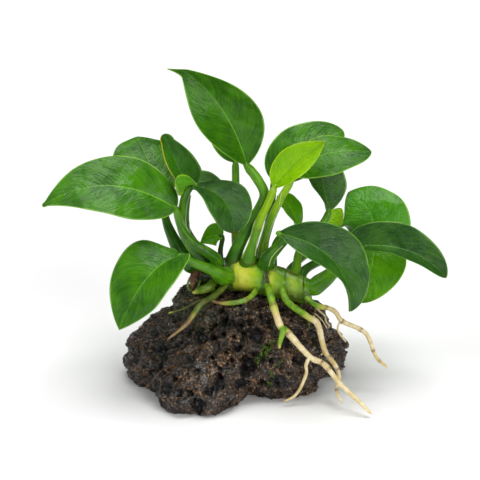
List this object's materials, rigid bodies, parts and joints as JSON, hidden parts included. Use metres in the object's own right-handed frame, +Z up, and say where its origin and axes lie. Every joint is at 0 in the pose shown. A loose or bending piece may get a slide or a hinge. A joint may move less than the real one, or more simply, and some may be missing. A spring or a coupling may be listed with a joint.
{
  "type": "anubias on stone",
  "caption": "Broad-leaved aquarium plant whose creeping stem grows over a dark porous lava stone, with cream roots hanging down its front.",
  "frame": {"origin": "on the stone's flat cut base, under the middle of the creeping stem", "axes": "+Z up, +X to the right along the creeping stem as the picture shows it, +Y away from the viewer"},
  "size_m": [0.1404, 0.0648, 0.1152],
  "materials": {
    "lava_stone": "matte",
    "leaf": "satin",
    "young_leaf": "satin",
    "stalk": "satin",
    "rhizome": "satin",
    "root": "satin",
    "dead_stalk": "matte"
  },
  "bodies": {
    "root": {"leaf_behind_middle": "leaf", "leaf_behind_top": "leaf", "leaf_far_left": "leaf", "leaf_far_right": "leaf", "leaf_front_right": "leaf", "leaf_hanging_right": "leaf", "leaf_level_right": "leaf", "leaf_low_left": "leaf", "leaf_middle": "leaf", "leaf_right_dark": "leaf", "leaf_round_right": "leaf", "leaf_small_left": "leaf", "leaf_small_middle": "leaf", "leaf_small_right": "leaf", "leaf_top": "leaf", "leaf_upper_left": "leaf", "leaf_upper_right": "leaf", "leaf_upright": "leaf", "leaf_young": "young_leaf", "old_stalk_stub": "dead_stalk", "rhizome": "rhizome", "root_far_right": "root", "root_front_side": "root", "root_front_stub": "root", "root_left": "root", "root_left_short": "root", "root_left_thin": "root", "root_long_front": "root", "root_long_right": "root", "root_middle": "root", "root_right_side": "root", "root_right_thin": "root", "stalk_behind_middle": "stalk", "stalk_behind_top": "stalk", "stalk_far_left": "stalk", "stalk_far_right": "stalk", "stalk_front_right": "stalk", "stalk_hanging_right": "stalk", "stalk_level_right": "stalk", "stalk_low_left": "stalk", "stalk_middle": "stalk", "stalk_right_dark": "stalk", "stalk_round_right": "stalk", "stalk_small_left": "stalk", "stalk_small_middle": "stalk", "stalk_small_right": "stalk", "stalk_top": "stalk", "stalk_upper_left": "stalk", "stalk_upper_right": "stalk", "stalk_upright": "stalk", "stalk_young": "stalk", "stone": "lava_stone"}
  },
  "joints": []
}
